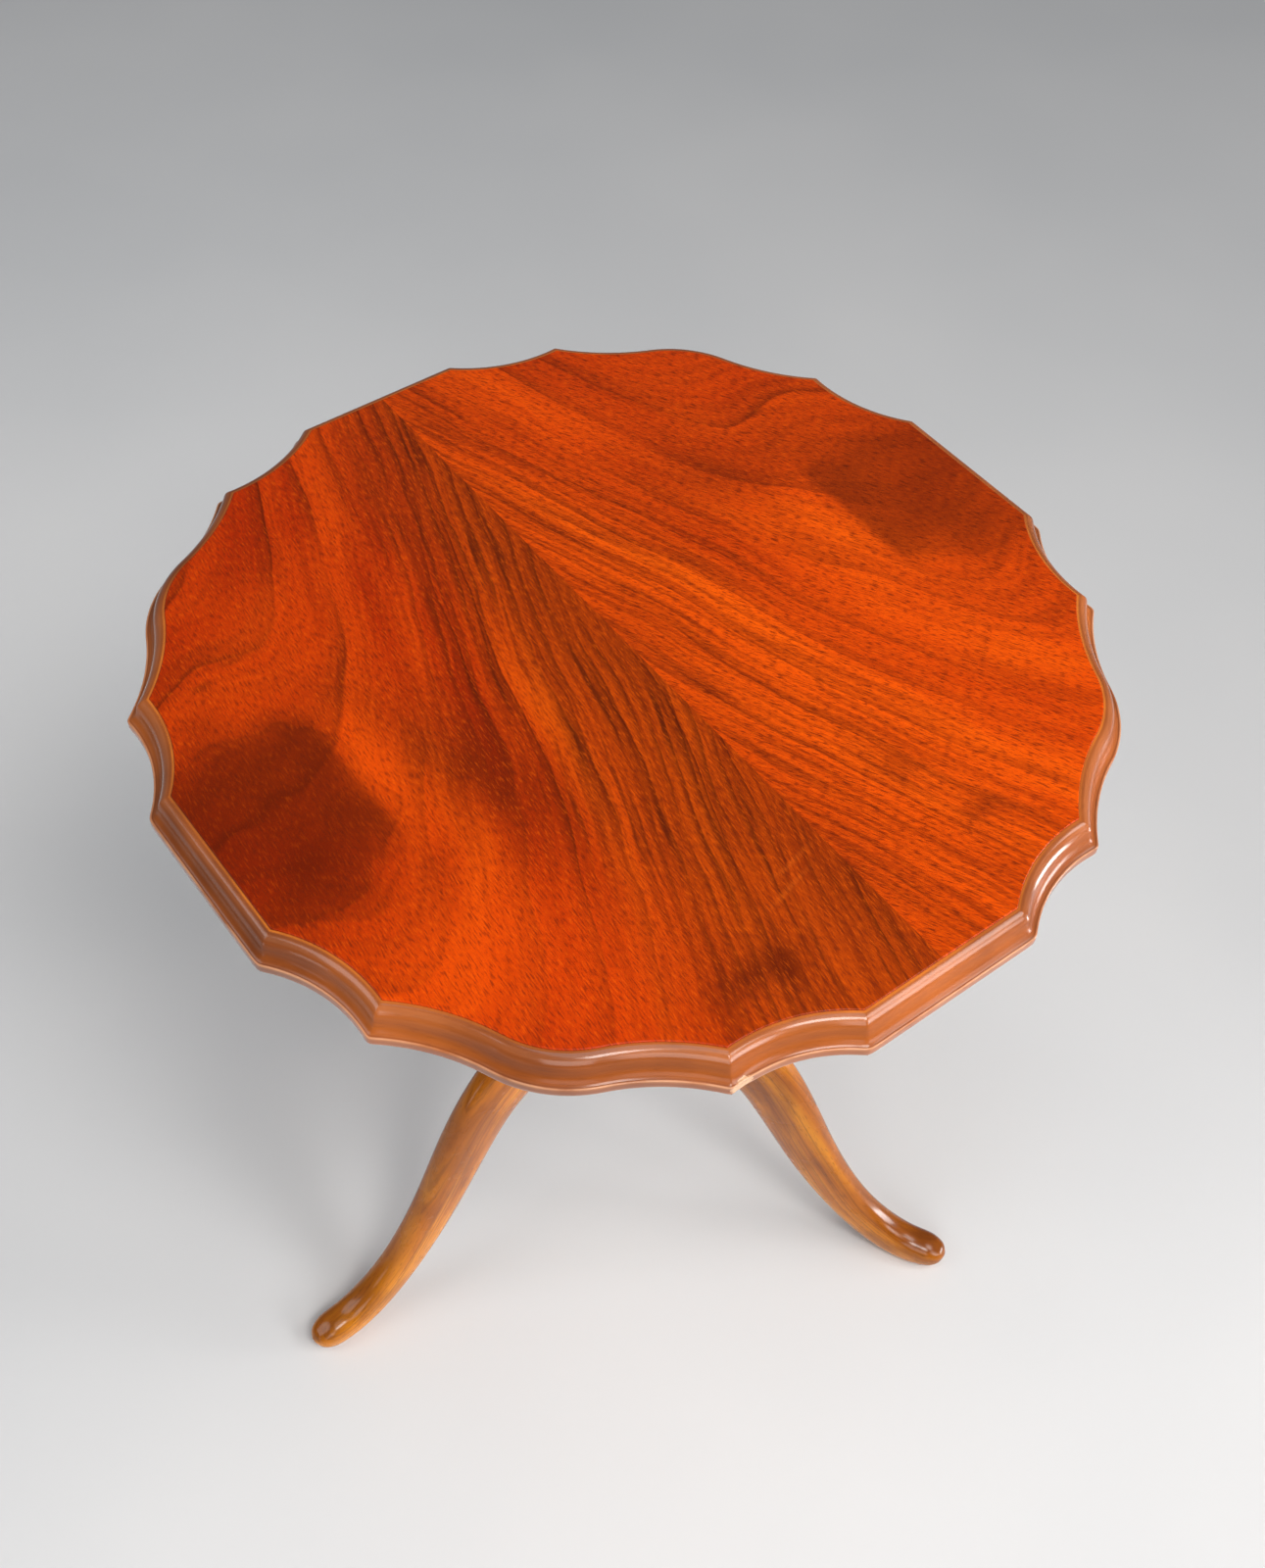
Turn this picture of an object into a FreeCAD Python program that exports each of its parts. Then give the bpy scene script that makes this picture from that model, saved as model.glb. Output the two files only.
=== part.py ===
import FreeCAD, Part
import math
import os

# Pedestal table with a scalloped, moulded top on a turned column and three swept legs.
# Millimetres, +Z up. The origin is on the floor under the column's axis, and X and Y run
# through the middles of the lobes of the top's edge.

Vector = FreeCAD.Vector
UP = Vector(0, 0, 1)

# Whole table
TABLE_HEIGHT = 473.0
LEG_ANGLES = {"leg_front_left": -133.0, "leg_front_right": -13.0, "leg_back": 107.0}

# Plan of the veneer's edge: four rounded lobes, eight cusps and four straight sides
LOBE_REACH = 216.0
LOBE_RADIUS = 50.0
HOLLOW_RADIUS = 114.0
CUSP_REACH = 215.5
CUSP_ANGLE = 18.4
SCALLOP_RADIUS = 81.0
SIDE_REACH = 211.0
SIDE_LENGTH = 84.0
SIDE_ANGLE = 45.0
QUARTER_TURN = 90.0
FULL_TURN = 360.0
SEAM_ANGLE = 135.0

# Layers of the top
VENEER_THICKNESS = 0.7
BOARD_THICKNESS = 17.0
BACKING_THICKNESS = 0.6

# Moulded edge, from the veneer's edge outwards and down
LEDGE_WIDTH = 1.6
OVOLO_OUT = 4.6
OVOLO_DROP = 6.0
OVOLO_START = 25.0
COVE_OUT = 3.6
COVE_DROP = 5.8
COVE_END = 65.0
STEP_OUT = 1.0
UNDER_ROUND = 1.2
CURVE_STEPS = 4

# Round block under the top
BLOCK_RADIUS = 62.0
BLOCK_THICKNESS = 20.0
BLOCK_ROUND = 8.0

# Turned column
BASE_RADIUS = 27.0
BASE_SHOULDER = 3.0
FLAT_REACH = 22.0
COLLAR_RADIUS = 31.0
COLLAR_HEIGHT = 9.0
VASE_RADIUS = 28.0
NECK_RING_RADIUS = 19.5
NECK_RING_HEIGHT = 7.0
CAP_RADIUS = 25.0
CAP_HEIGHT = 24.0
SPIGOT_RADIUS = 14.0
SPIGOT_LENGTH = 18.0
VASE_SHARES = ((0.62, 0.0), (0.66, 0.05), (0.97, 0.24), (1.0, 0.31), (0.86, 0.5), (0.6, 0.8), (0.53, 1.0))
CAP_WAIST_SHARE = 0.6

# Swept leg
LEG_REACH = 226.0
LEG_WIDTH = 20.5
KNEE_HEIGHT = 215.0
ROOT_DEPTH = 63.0
SECTION_POWER = 2.6
SECTION_POINTS = 16
# Lower outline (reach, height), upper outline (reach, height) and width at each station.
# Reaches run from the column's flat to the toe, lower heights are shares of the root's
# underside, upper heights of the knee, and widths of the leg's width.
LEG_STATION_SHARES = (
    (0.000, 0.987, 0.000, 1.000, 1.00),
    (0.062, 0.987, 0.085, 0.997, 1.00),
    (0.118, 0.987, 0.167, 0.981, 1.00),
    (0.178, 0.970, 0.324, 0.885, 0.98),
    (0.248, 0.910, 0.422, 0.775, 0.95),
    (0.334, 0.764, 0.504, 0.632, 0.92),
    (0.427, 0.549, 0.580, 0.466, 0.89),
    (0.524, 0.350, 0.652, 0.327, 0.88),
    (0.634, 0.177, 0.732, 0.212, 0.90),
    (0.758, 0.046, 0.819, 0.133, 0.96),
    (0.880, -0.006, 0.896, 0.098, 1.00),
    (0.930, -0.003, 0.925, 0.094, 0.99),
    (0.965, 0.012, 0.955, 0.088, 0.90),
    (0.985, 0.033, 0.978, 0.078, 0.70),
    (0.996, 0.055, 0.993, 0.0665, 0.38),
    (1.0, 0.070, 0.9995, 0.0555, 0.12),
)

# Dowels in the leg roots
DOWEL_RADIUS = 5.0
DOWEL_IN_COLUMN = 12.0
DOWEL_IN_LEG = 20.0
DOWEL_SPACING = 28.0

# Plate under the column and the leg roots
PLATE_THICKNESS = 1.6
PLATE_HUB_RADIUS = 18.0
PLATE_ARM_WIDTH = 12.0
PLATE_ARM_REACH = 42.0

# Countersunk screws
SCREW_HEAD_RADIUS = 4.0
SCREW_HEAD_HEIGHT = 2.6
SCREW_SHANK_RADIUS = 2.0
SCREW_POINT = 4.0
SCREW_TIP_RADIUS = 0.3
SCREW_SLOT_WIDTH = 0.9
SCREW_SLOT_DEPTH = 1.1
BLOCK_SCREW_LENGTH = 30.0
BLOCK_SCREW_REACH = 42.0
BLOCK_SCREW_COUNT = 4
PLATE_SCREW_LENGTH = 11.0
PLATE_SCREW_REACH = 38.0

# Clearances
FIT_CLEARANCE = 0.1
END_CLEARANCE = 1.0
OVERRUN = 2.0

# Heights that follow from the sizes above
BOARD_TOP = TABLE_HEIGHT - VENEER_THICKNESS
BOARD_BOTTOM = BOARD_TOP - BOARD_THICKNESS
BLOCK_TOP = BOARD_BOTTOM - BACKING_THICKNESS
BLOCK_BOTTOM = BLOCK_TOP - BLOCK_THICKNESS
ROOT_BOTTOM = KNEE_HEIGHT - ROOT_DEPTH
ROOT_MIDDLE = (KNEE_HEIGHT + ROOT_BOTTOM) / 2
PLATE_BOTTOM = ROOT_BOTTOM - PLATE_THICKNESS
EDGE_REACH = LEDGE_WIDTH + OVOLO_OUT + COVE_OUT + STEP_OUT


def polar(reach, degrees, height=0):
    """Point at a reach from the axis, turned from +X, at a height."""
    turn = math.radians(degrees)
    return Vector(reach * math.cos(turn), reach * math.sin(turn), height)


def unit_towards(start, end):
    """Unit vector from one point to another."""
    return (end - start).normalize()


def circles_meet(centre_a, radius_a, centre_b, radius_b, near):
    """The crossing of two circles in plan that lies nearer to a given point."""
    gap = centre_a.distanceToPoint(centre_b)
    along = (radius_a**2 - radius_b**2 + gap**2) / (2 * gap)
    rise = math.sqrt(radius_a**2 - along**2)
    forward = unit_towards(centre_a, centre_b)
    foot = centre_a + forward * along
    step = forward.cross(UP) * rise
    return min((foot + step, foot - step), key=near.distanceToPoint)


# Circles that the top's edge is drawn with, on one half of a lobe
SIDE_NORMAL = polar(1, SIDE_ANGLE)
SIDE_RUN = polar(1, SIDE_ANGLE - QUARTER_TURN)
CUSP = polar(CUSP_REACH, CUSP_ANGLE)
CORNER = SIDE_NORMAL * SIDE_REACH + SIDE_RUN * (SIDE_LENGTH / 2)
LOBE_CENTRE = Vector(LOBE_REACH - LOBE_RADIUS, 0, 0)
HOLLOW_CENTRE = circles_meet(
    LOBE_CENTRE, LOBE_RADIUS + HOLLOW_RADIUS, CUSP, HOLLOW_RADIUS,
    polar(CUSP_REACH + HOLLOW_RADIUS, CUSP_ANGLE))
SCALLOP_CENTRE = circles_meet(
    CUSP, SCALLOP_RADIUS, CORNER, SCALLOP_RADIUS,
    polar(CUSP_REACH + SCALLOP_RADIUS, CUSP_ANGLE))


def mirrored(point):
    """The same point on the other half of the lobe."""
    return Vector(point.x, -point.y, point.z)


def arc_about(centre, start, end):
    """Arc from start to end on a circle about centre, the short way round."""
    radius = centre.distanceToPoint(start)
    middle = centre + unit_towards(centre, (start + end) / 2) * radius
    return Part.Arc(start, middle, end).toShape()


def quarter_edges(offset):
    """One quarter of the top's edge, moved outwards: scallop, hollow, lobe, hollow, scallop, side."""
    join = LOBE_CENTRE + unit_towards(LOBE_CENTRE, HOLLOW_CENTRE) * (LOBE_RADIUS + offset)
    cusp = circles_meet(
        HOLLOW_CENTRE, HOLLOW_RADIUS - offset, SCALLOP_CENTRE, SCALLOP_RADIUS - offset, CUSP)
    inwards = SIDE_REACH + offset - SCALLOP_CENTRE.dot(SIDE_NORMAL)
    run = math.sqrt((SCALLOP_RADIUS - offset)**2 - inwards**2)
    foot = SCALLOP_CENTRE + SIDE_NORMAL * inwards
    corner = min((foot + SIDE_RUN * run, foot - SIDE_RUN * run), key=CORNER.distanceToPoint)
    far_corner = corner - SIDE_RUN * (2 * corner.dot(SIDE_RUN))
    return [
        arc_about(mirrored(SCALLOP_CENTRE), mirrored(corner), mirrored(cusp)),
        arc_about(mirrored(HOLLOW_CENTRE), mirrored(cusp), mirrored(join)),
        arc_about(LOBE_CENTRE, mirrored(join), join),
        arc_about(HOLLOW_CENTRE, join, cusp),
        arc_about(SCALLOP_CENTRE, cusp, corner),
        Part.LineSegment(corner, far_corner).toShape(),
    ]


def edge_outline(offset, height):
    """The whole scalloped edge, moved outwards and set at a height, with mitred cusps and corners."""
    edges = []
    for quarter in range(4):
        for edge in quarter_edges(offset):
            edge.rotate(Vector(), UP, quarter * QUARTER_TURN)
            edge.translate(UP * height)
            edges.append(edge)
    return Part.Wire(edges)


def edge_slab(offset, bottom, top):
    """Flat slab with the scalloped edge."""
    return Part.Face(edge_outline(offset, bottom)).extrude(UP * (top - bottom))


def edge_loft(levels):
    """Solid through scalloped outlines given as (offset, height) pairs."""
    return Part.makeLoft([edge_outline(offset, height) for offset, height in levels], True, False)


def between(start, end):
    """Angles in radians, in even steps, from start to end in degrees."""
    return [math.radians(start + (end - start) * step / CURVE_STEPS) for step in range(CURVE_STEPS + 1)]


def ogee_levels():
    """Convex ovolo that runs into a concave cove, as (offset, height) pairs from the board's top."""
    first = math.radians(OVOLO_START)
    last = math.radians(COVE_END)
    levels = []
    for turn in between(OVOLO_START, QUARTER_TURN):
        out = OVOLO_OUT * (math.sin(turn) - math.sin(first)) / (1 - math.sin(first))
        drop = OVOLO_DROP * (math.cos(first) - math.cos(turn)) / math.cos(first)
        levels.append((LEDGE_WIDTH + out, BOARD_TOP - drop))
    for turn in between(0, COVE_END)[1:]:
        out = COVE_OUT * (1 - math.cos(turn)) / (1 - math.cos(last))
        drop = COVE_DROP * math.sin(turn) / math.sin(last)
        levels.append((LEDGE_WIDTH + OVOLO_OUT + out, BOARD_TOP - OVOLO_DROP - drop))
    return levels


def under_round_levels():
    """Quarter round at the lower rim, as (offset, height) pairs."""
    return [
        (EDGE_REACH - UNDER_ROUND * (1 - math.cos(turn)), BOARD_BOTTOM + UNDER_ROUND * (1 - math.sin(turn)))
        for turn in between(0, QUARTER_TURN)]


def turned(outer, low, high):
    """Solid turned about the column's axis from its outer edges, which run from low up to high."""
    axis_low = Vector(0, 0, low.z)
    axis_high = Vector(0, 0, high.z)
    closing = [Part.LineSegment(start, end).toShape()
               for start, end in ((high, axis_high), (axis_high, axis_low), (axis_low, low))]
    return Part.Face(Part.Wire(outer + closing)).revolve(Vector(), UP, FULL_TURN)


def turned_straight(points):
    """Solid turned from straight runs between (radius, height) points, listed from bottom to top."""
    corners = [Vector(radius, 0, height) for radius, height in points]
    runs = [Part.LineSegment(start, end).toShape() for start, end in zip(corners, corners[1:])]
    return turned(runs, corners[0], corners[-1])


def screw_body(length, clearance=0):
    """Countersunk screw pointing up with its head's face at height zero, or its hole."""
    head = SCREW_HEAD_RADIUS + clearance
    shank = SCREW_SHANK_RADIUS + clearance
    return turned_straight((
        (head, 0), (shank, SCREW_HEAD_HEIGHT + clearance),
        (shank, length - SCREW_POINT), (SCREW_TIP_RADIUS, length + clearance)))


def screw(length):
    """Countersunk screw with a slotted head."""
    slot = Part.makeBox(SCREW_HEAD_RADIUS * 2 + OVERRUN, SCREW_SLOT_WIDTH, SCREW_SLOT_DEPTH + OVERRUN)
    slot.translate(Vector(-SCREW_HEAD_RADIUS - OVERRUN / 2, -SCREW_SLOT_WIDTH / 2, -OVERRUN))
    return screw_body(length).cut(slot)


def set_at(shape, places):
    """Copies of a shape at each place."""
    return [shape.translated(place) for place in places]


def block_screw_places():
    """Where the screws enter the block's underside."""
    step = FULL_TURN / BLOCK_SCREW_COUNT
    return [polar(BLOCK_SCREW_REACH, step * (i + 0.5), BLOCK_BOTTOM) for i in range(BLOCK_SCREW_COUNT)]


def plate_screw_places():
    """Where the screws enter the plate: one under the column and one under each leg's root."""
    return [Vector(0, 0, PLATE_BOTTOM)] + [
        polar(PLATE_SCREW_REACH, angle, PLATE_BOTTOM) for angle in LEG_ANGLES.values()]


def block_screw_holes():
    return set_at(screw_body(BLOCK_SCREW_LENGTH, FIT_CLEARANCE), block_screw_places())


def plate_screw_holes():
    return set_at(screw_body(PLATE_SCREW_LENGTH, FIT_CLEARANCE), plate_screw_places())


def top_board():
    """Core board with the moulded edge worked all round."""
    ogee = edge_loft(ogee_levels())
    band_top = BOARD_TOP - OVOLO_DROP - COVE_DROP
    band = edge_slab(EDGE_REACH, BOARD_BOTTOM + UNDER_ROUND, band_top)
    rim = edge_loft(under_round_levels())
    return ogee.fuse([band, rim]).removeSplitter().cut(block_screw_holes())


def veneer_leaf(side):
    """Half of the book-matched veneer, on one side of the seam."""
    sheet = edge_slab(0, BOARD_TOP, TABLE_HEIGHT)
    span = LOBE_REACH + OVERRUN
    half = Part.makeBox(span * 2, span, VENEER_THICKNESS + OVERRUN * 2)
    half.translate(Vector(-span, 0, BOARD_TOP - OVERRUN))
    half.rotate(Vector(), UP, SEAM_ANGLE + side * QUARTER_TURN * 2)
    return sheet.common(half)


def backing_veneer():
    """Plain sheet under the board that balances the face veneer."""
    return edge_slab(EDGE_REACH - UNDER_ROUND, BLOCK_TOP, BOARD_BOTTOM).cut(block_screw_holes())


def top_block():
    """Round block with a rounded lower rim, bored for the column's spigot."""
    flat = BLOCK_RADIUS - BLOCK_ROUND
    low = Vector(flat, 0, BLOCK_BOTTOM)
    rim_end = Vector(BLOCK_RADIUS, 0, BLOCK_BOTTOM + BLOCK_ROUND)
    high = Vector(BLOCK_RADIUS, 0, BLOCK_TOP)
    rim = arc_about(Vector(flat, 0, BLOCK_BOTTOM + BLOCK_ROUND), low, rim_end)
    block = turned([rim, Part.LineSegment(rim_end, high).toShape()], low, high)
    bore = Part.makeCylinder(SPIGOT_RADIUS + FIT_CLEARANCE, SPIGOT_LENGTH + END_CLEARANCE + OVERRUN,
                             Vector(0, 0, BLOCK_BOTTOM - OVERRUN))
    return block.cut([bore] + block_screw_holes())


def bead(radius, bottom, height):
    """Half-round ring of the given height, standing proud to a radius."""
    half = height / 2
    low = Vector(radius - half, 0, bottom)
    high = Vector(radius - half, 0, bottom + height)
    return turned([Part.Arc(low, Vector(radius, 0, bottom + half), high).toShape()], low, high)


def vase(bottom, top):
    """Tall vase of the column, through share points of its radius and height."""
    curve = Part.BSplineCurve()
    curve.interpolate([Vector(VASE_RADIUS * r, 0, bottom + (top - bottom) * h) for r, h in VASE_SHARES])
    return turned([curve.toShape()], curve.value(curve.FirstParameter), curve.value(curve.LastParameter))


def cap(bottom, top):
    """Hollow-sided cap that flares up to the block."""
    waist = CAP_RADIUS * CAP_WAIST_SHARE
    low = Vector(waist, 0, bottom)
    high = Vector(CAP_RADIUS, 0, top)
    bend = math.radians(QUARTER_TURN / 2)
    out = (CAP_RADIUS - waist) * (1 - math.cos(bend))
    up = (top - bottom) * math.sin(bend)
    return turned([Part.Arc(low, low + Vector(out, 0, up), high).toShape()], low, high)


def dowel_places():
    """Middle height of each dowel in a leg's root."""
    return [ROOT_MIDDLE - DOWEL_SPACING / 2, ROOT_MIDDLE + DOWEL_SPACING / 2]


def leg_dowels(angle, clearance=0, end=0):
    """The dowels of one leg, across the joint face, or their holes."""
    length = DOWEL_IN_COLUMN + DOWEL_IN_LEG + 2 * end
    outwards = polar(1, angle)
    return [
        Part.makeCylinder(DOWEL_RADIUS + clearance, length,
                          polar(FLAT_REACH - DOWEL_IN_COLUMN - end, angle, height), outwards)
        for height in dowel_places()]


def all_dowel_holes():
    return [hole for angle in LEG_ANGLES.values() for hole in leg_dowels(angle, FIT_CLEARANCE, END_CLEARANCE)]


def column():
    """Turned column: base with a flat for each leg, collar, vase, neck ring, cap and spigot."""
    base_top = KNEE_HEIGHT + BASE_SHOULDER * 2
    vase_bottom = base_top + COLLAR_HEIGHT
    cap_bottom = BLOCK_BOTTOM - CAP_HEIGHT
    vase_top = cap_bottom - NECK_RING_HEIGHT
    base = Part.makeCylinder(BASE_RADIUS, base_top - ROOT_BOTTOM, Vector(0, 0, ROOT_BOTTOM))
    turned = base.fuse([
        bead(COLLAR_RADIUS, base_top, COLLAR_HEIGHT),
        vase(vase_bottom, vase_top),
        bead(NECK_RING_RADIUS, vase_top, NECK_RING_HEIGHT),
        cap(cap_bottom, BLOCK_BOTTOM),
        Part.makeCylinder(SPIGOT_RADIUS, SPIGOT_LENGTH, Vector(0, 0, BLOCK_BOTTOM)),
    ]).removeSplitter()
    flats = []
    for angle in LEG_ANGLES.values():
        flat = Part.makeBox(BASE_RADIUS, BASE_RADIUS * 2, KNEE_HEIGHT + BASE_SHOULDER - ROOT_BOTTOM + OVERRUN)
        flat.translate(Vector(FLAT_REACH, -BASE_RADIUS, ROOT_BOTTOM - OVERRUN))
        flat.rotate(Vector(), UP, angle)
        flats.append(flat)
    return turned.cut(flats + all_dowel_holes() + plate_screw_holes())


def leg_section(lower, upper, width):
    """Points round a superellipse of the given width, from its lower point over the upper and back."""
    middle = (lower + upper) / 2
    along = (upper - lower) / 2
    across = Vector(0, width / 2, 0)
    points = []
    for i in range(SECTION_POINTS):
        turn = 2 * math.pi * i / SECTION_POINTS
        c = math.copysign(abs(math.cos(turn)) ** (2 / SECTION_POWER), math.cos(turn))
        s = math.copysign(abs(math.sin(turn)) ** (2 / SECTION_POWER), math.sin(turn))
        points.append(middle - along * c + across * s)
    return points + points[:1]


def swept_solid(sections):
    """Solid with one smooth surface through the points of all sections, and a flat face at each end."""
    surface = Part.BSplineSurface()
    surface.interpolate(sections)
    start, end = surface.bounds()[:2]
    faces = [surface.toShape()]
    for station in (start, end):
        faces.append(Part.Face(Part.Wire(surface.uIso(station).toShape())))
    shell = Part.makeShell(faces)
    shell.sewShape()
    solid = Part.makeSolid(shell)
    if solid.Volume < 0:
        solid.reverse()
    return solid


def leg(angle):
    """Swept leg from the column's flat to a rounded toe, with a flat sole and a seat for the plate."""
    run = LEG_REACH - FLAT_REACH
    sections = []
    for low_reach, low_height, high_reach, high_height, width in LEG_STATION_SHARES:
        lower = Vector(FLAT_REACH + run * low_reach, 0, ROOT_BOTTOM * low_height)
        upper = Vector(FLAT_REACH + run * high_reach, 0, KNEE_HEIGHT * high_height)
        sections.append(leg_section(lower, upper, LEG_WIDTH * width))
    swept = swept_solid(sections)
    floor = Part.makeBox(LEG_REACH, LEG_WIDTH * 2, OVERRUN)
    floor.translate(Vector(FLAT_REACH, -LEG_WIDTH, -OVERRUN))
    seat_reach = PLATE_ARM_REACH + PLATE_ARM_WIDTH / 2 + END_CLEARANCE
    seat = Part.makeBox(seat_reach, LEG_WIDTH * 2, ROOT_DEPTH)
    seat.translate(Vector(0, -LEG_WIDTH, ROOT_BOTTOM - ROOT_DEPTH))
    shaped = swept.cut([floor, seat])
    shaped.rotate(Vector(), UP, angle)
    return shaped.cut(leg_dowels(angle, FIT_CLEARANCE, END_CLEARANCE) + plate_screw_holes())


def tripod_plate():
    """Flat plate with a round hub and a round-ended arm under each leg's root."""
    plate = Part.makeCylinder(PLATE_HUB_RADIUS, PLATE_THICKNESS, Vector(0, 0, PLATE_BOTTOM))
    arms = []
    for angle in LEG_ANGLES.values():
        bar = Part.makeBox(PLATE_ARM_REACH, PLATE_ARM_WIDTH, PLATE_THICKNESS)
        bar.translate(Vector(0, -PLATE_ARM_WIDTH / 2, PLATE_BOTTOM))
        bar.rotate(Vector(), UP, angle)
        end = polar(PLATE_ARM_REACH, angle, PLATE_BOTTOM)
        arms += [bar, Part.makeCylinder(PLATE_ARM_WIDTH / 2, PLATE_THICKNESS, end)]
    return plate.fuse(arms).removeSplitter().cut(plate_screw_holes())


def build():
    """Every node's shape by name."""
    nodes = {
        "top_board": top_board(),
        "veneer_leaf_left": veneer_leaf(0),
        "veneer_leaf_right": veneer_leaf(1),
        "backing_veneer": backing_veneer(),
        "top_block": top_block(),
        "block_screws": Part.makeCompound(set_at(screw(BLOCK_SCREW_LENGTH), block_screw_places())),
        "column": column(),
        "tripod_plate": tripod_plate(),
        "plate_screws": Part.makeCompound(set_at(screw(PLATE_SCREW_LENGTH), plate_screw_places())),
        "leg_dowels": Part.makeCompound([peg for angle in LEG_ANGLES.values() for peg in leg_dowels(angle)]),
    }
    for name, angle in LEG_ANGLES.items():
        nodes[name] = leg(angle)
    return nodes


os.makedirs("parts", exist_ok=True)
for node, shape in build().items():
    shape.exportStep("parts/" + node + ".step")
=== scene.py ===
import math
import bpy
import numpy as np
from mathutils import Matrix


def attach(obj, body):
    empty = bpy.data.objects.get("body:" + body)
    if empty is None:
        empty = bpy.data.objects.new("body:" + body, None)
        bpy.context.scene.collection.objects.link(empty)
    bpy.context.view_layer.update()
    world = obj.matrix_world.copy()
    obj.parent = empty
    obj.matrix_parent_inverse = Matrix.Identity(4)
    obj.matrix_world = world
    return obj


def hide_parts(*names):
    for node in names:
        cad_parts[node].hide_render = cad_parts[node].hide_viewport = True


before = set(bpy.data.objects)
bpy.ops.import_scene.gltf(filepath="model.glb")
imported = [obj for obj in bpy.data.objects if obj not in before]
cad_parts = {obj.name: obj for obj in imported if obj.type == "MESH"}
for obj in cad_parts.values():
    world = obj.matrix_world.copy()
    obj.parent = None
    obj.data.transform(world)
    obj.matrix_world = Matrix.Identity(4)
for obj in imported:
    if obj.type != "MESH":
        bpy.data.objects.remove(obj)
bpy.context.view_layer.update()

# Millimetres to metres, and the sizes of the solids that the finished pieces follow
MM = 0.001
TABLE_HEIGHT = 473.0
VENEER_THICKNESS = 0.7
LOBE_REACH = 216.0
LOBE_RADIUS = 50.0
HOLLOW_RADIUS = 114.0
CUSP_REACH = 215.5
CUSP_ANGLE = 18.4
SCALLOP_RADIUS = 81.0
SIDE_REACH = 211.0
SIDE_LENGTH = 84.0
SIDE_ANGLE = 45.0
SEAM_TURN = -45.0
LEG_ANGLES = {"leg_front_left": -133.0, "leg_front_right": -13.0, "leg_back": 107.0}
LEG_REACH = 226.0
LEG_WIDTH = 20.5
KNEE_HEIGHT = 215.0
ROOT_BOTTOM = 152.0
FLAT_REACH = 22.0
FLAT_TOP = 218.0
SEAT_REACH = 49.0
SECTION_POWER = 2.6
BLOCK_BOTTOM = 434.7
BLOCK_TOP = 454.7

# How finely the scalloped edge is sampled: arcs and lines in the ring, dense points on each, and those kept
EDGE_PARTS = 24
DENSE = 240
KEPT = 24


def linear(red, green, blue):
    """Linear colour of an 8-bit screen colour."""
    screen = np.array((red, green, blue)) / 255
    light = np.where(screen <= 0.04045, screen / 12.92, ((screen + 0.055) / 1.055) ** 2.4)
    return (*light.tolist(), 1.0)


# Meshes


def put_mesh(name, points, faces, finish, nodes, attributes=(), sharp=40.0):
    """Makes a closed mesh from points in millimetres, faces turned outwards by its signed volume.

    Edges that bend by more than sharp degrees stay sharp."""
    volume = 0.0
    for face in faces:
        rest = points[list(face[1:])]
        volume += (np.cross(rest[:-1], rest[1:]) @ points[face[0]]).sum()
    if volume < 0:
        faces = [face[::-1] for face in faces]
    mesh = bpy.data.meshes.new(name)
    mesh.from_pydata((points * MM).tolist(), [], faces)
    mesh.polygons.foreach_set("use_smooth", np.ones(len(mesh.polygons), dtype=bool))
    mesh.set_sharp_from_angle(angle=math.radians(sharp))
    for key, values in dict(attributes).items():
        layer = mesh.attributes.new(key, "FLOAT_VECTOR", "POINT")
        layer.data.foreach_set("vector", np.ascontiguousarray(values, dtype=np.float32).ravel())
    mesh.materials.append(finish)
    piece = bpy.data.objects.new(name, mesh)
    bpy.context.scene.collection.objects.link(piece)
    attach(piece, "root")
    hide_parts(*nodes)


def grid_quads(rows, columns, closed):
    """Quads between neighbouring rows and columns; closed joins the last column to the first."""
    row = np.arange(rows - 1)[:, None] * columns
    here = np.arange(columns if closed else columns - 1)[None, :]
    after = (here + 1) % columns
    quads = np.stack((row + here, row + columns + here, row + columns + after, row + after), -1)
    return quads.reshape(-1, 4).tolist()


def with_ends(grid):
    """A grid's vectors in one list, followed by the mean of its first row and that of its last."""
    return np.concatenate((grid.reshape(-1, 3), grid[0].mean(0)[None], grid[-1].mean(0)[None]))


def capped(grid):
    """Points and faces of a grid of rings that is closed by a point in the middle of each end."""
    rows, columns = grid.shape[:2]
    here = np.arange(columns)
    after = (here + 1) % columns
    last = (rows - 1) * columns
    start = np.stack((np.full(columns, rows * columns), here, after), -1).tolist()
    end = np.stack((np.full(columns, rows * columns + 1), last + after, last + here), -1).tolist()
    return with_ends(grid), grid_quads(rows, columns, True) + start + end


def smooth_through(knots, values, at):
    """Natural cubic curve through values at knots, read at new places.

    The second derivatives solve the usual tridiagonal system, and each place uses the cubic of its span."""
    spans = np.diff(knots)[:, None]
    count = len(knots)
    inner = np.arange(1, count - 1)
    system = np.eye(count)
    system[inner, inner - 1] = spans[:-1, 0]
    system[inner, inner] = 2 * (spans[:-1, 0] + spans[1:, 0])
    system[inner, inner + 1] = spans[1:, 0]
    turns = np.zeros((count, values.shape[1]))
    turns[1:-1] = 6 * np.diff(np.diff(values, axis=0) / spans, axis=0)
    bend = np.linalg.solve(system, turns)
    low = np.clip(np.searchsorted(knots, at) - 1, 0, count - 2)
    high = low + 1
    span = spans[low]
    past = (at - knots[low])[:, None]
    ahead = (knots[high] - at)[:, None]
    cubic = (bend[low] * ahead**3 + bend[high] * past**3) / (6 * span)
    from_low = (values[low] / span - bend[low] * span / 6) * ahead
    from_high = (values[high] / span - bend[high] * span / 6) * past
    return cubic + from_low + from_high


# The scalloped edge


def polar(reach, degrees):
    """Plan point at a reach and turn, as a complex number."""
    return reach * np.exp(1j * math.radians(degrees))


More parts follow.
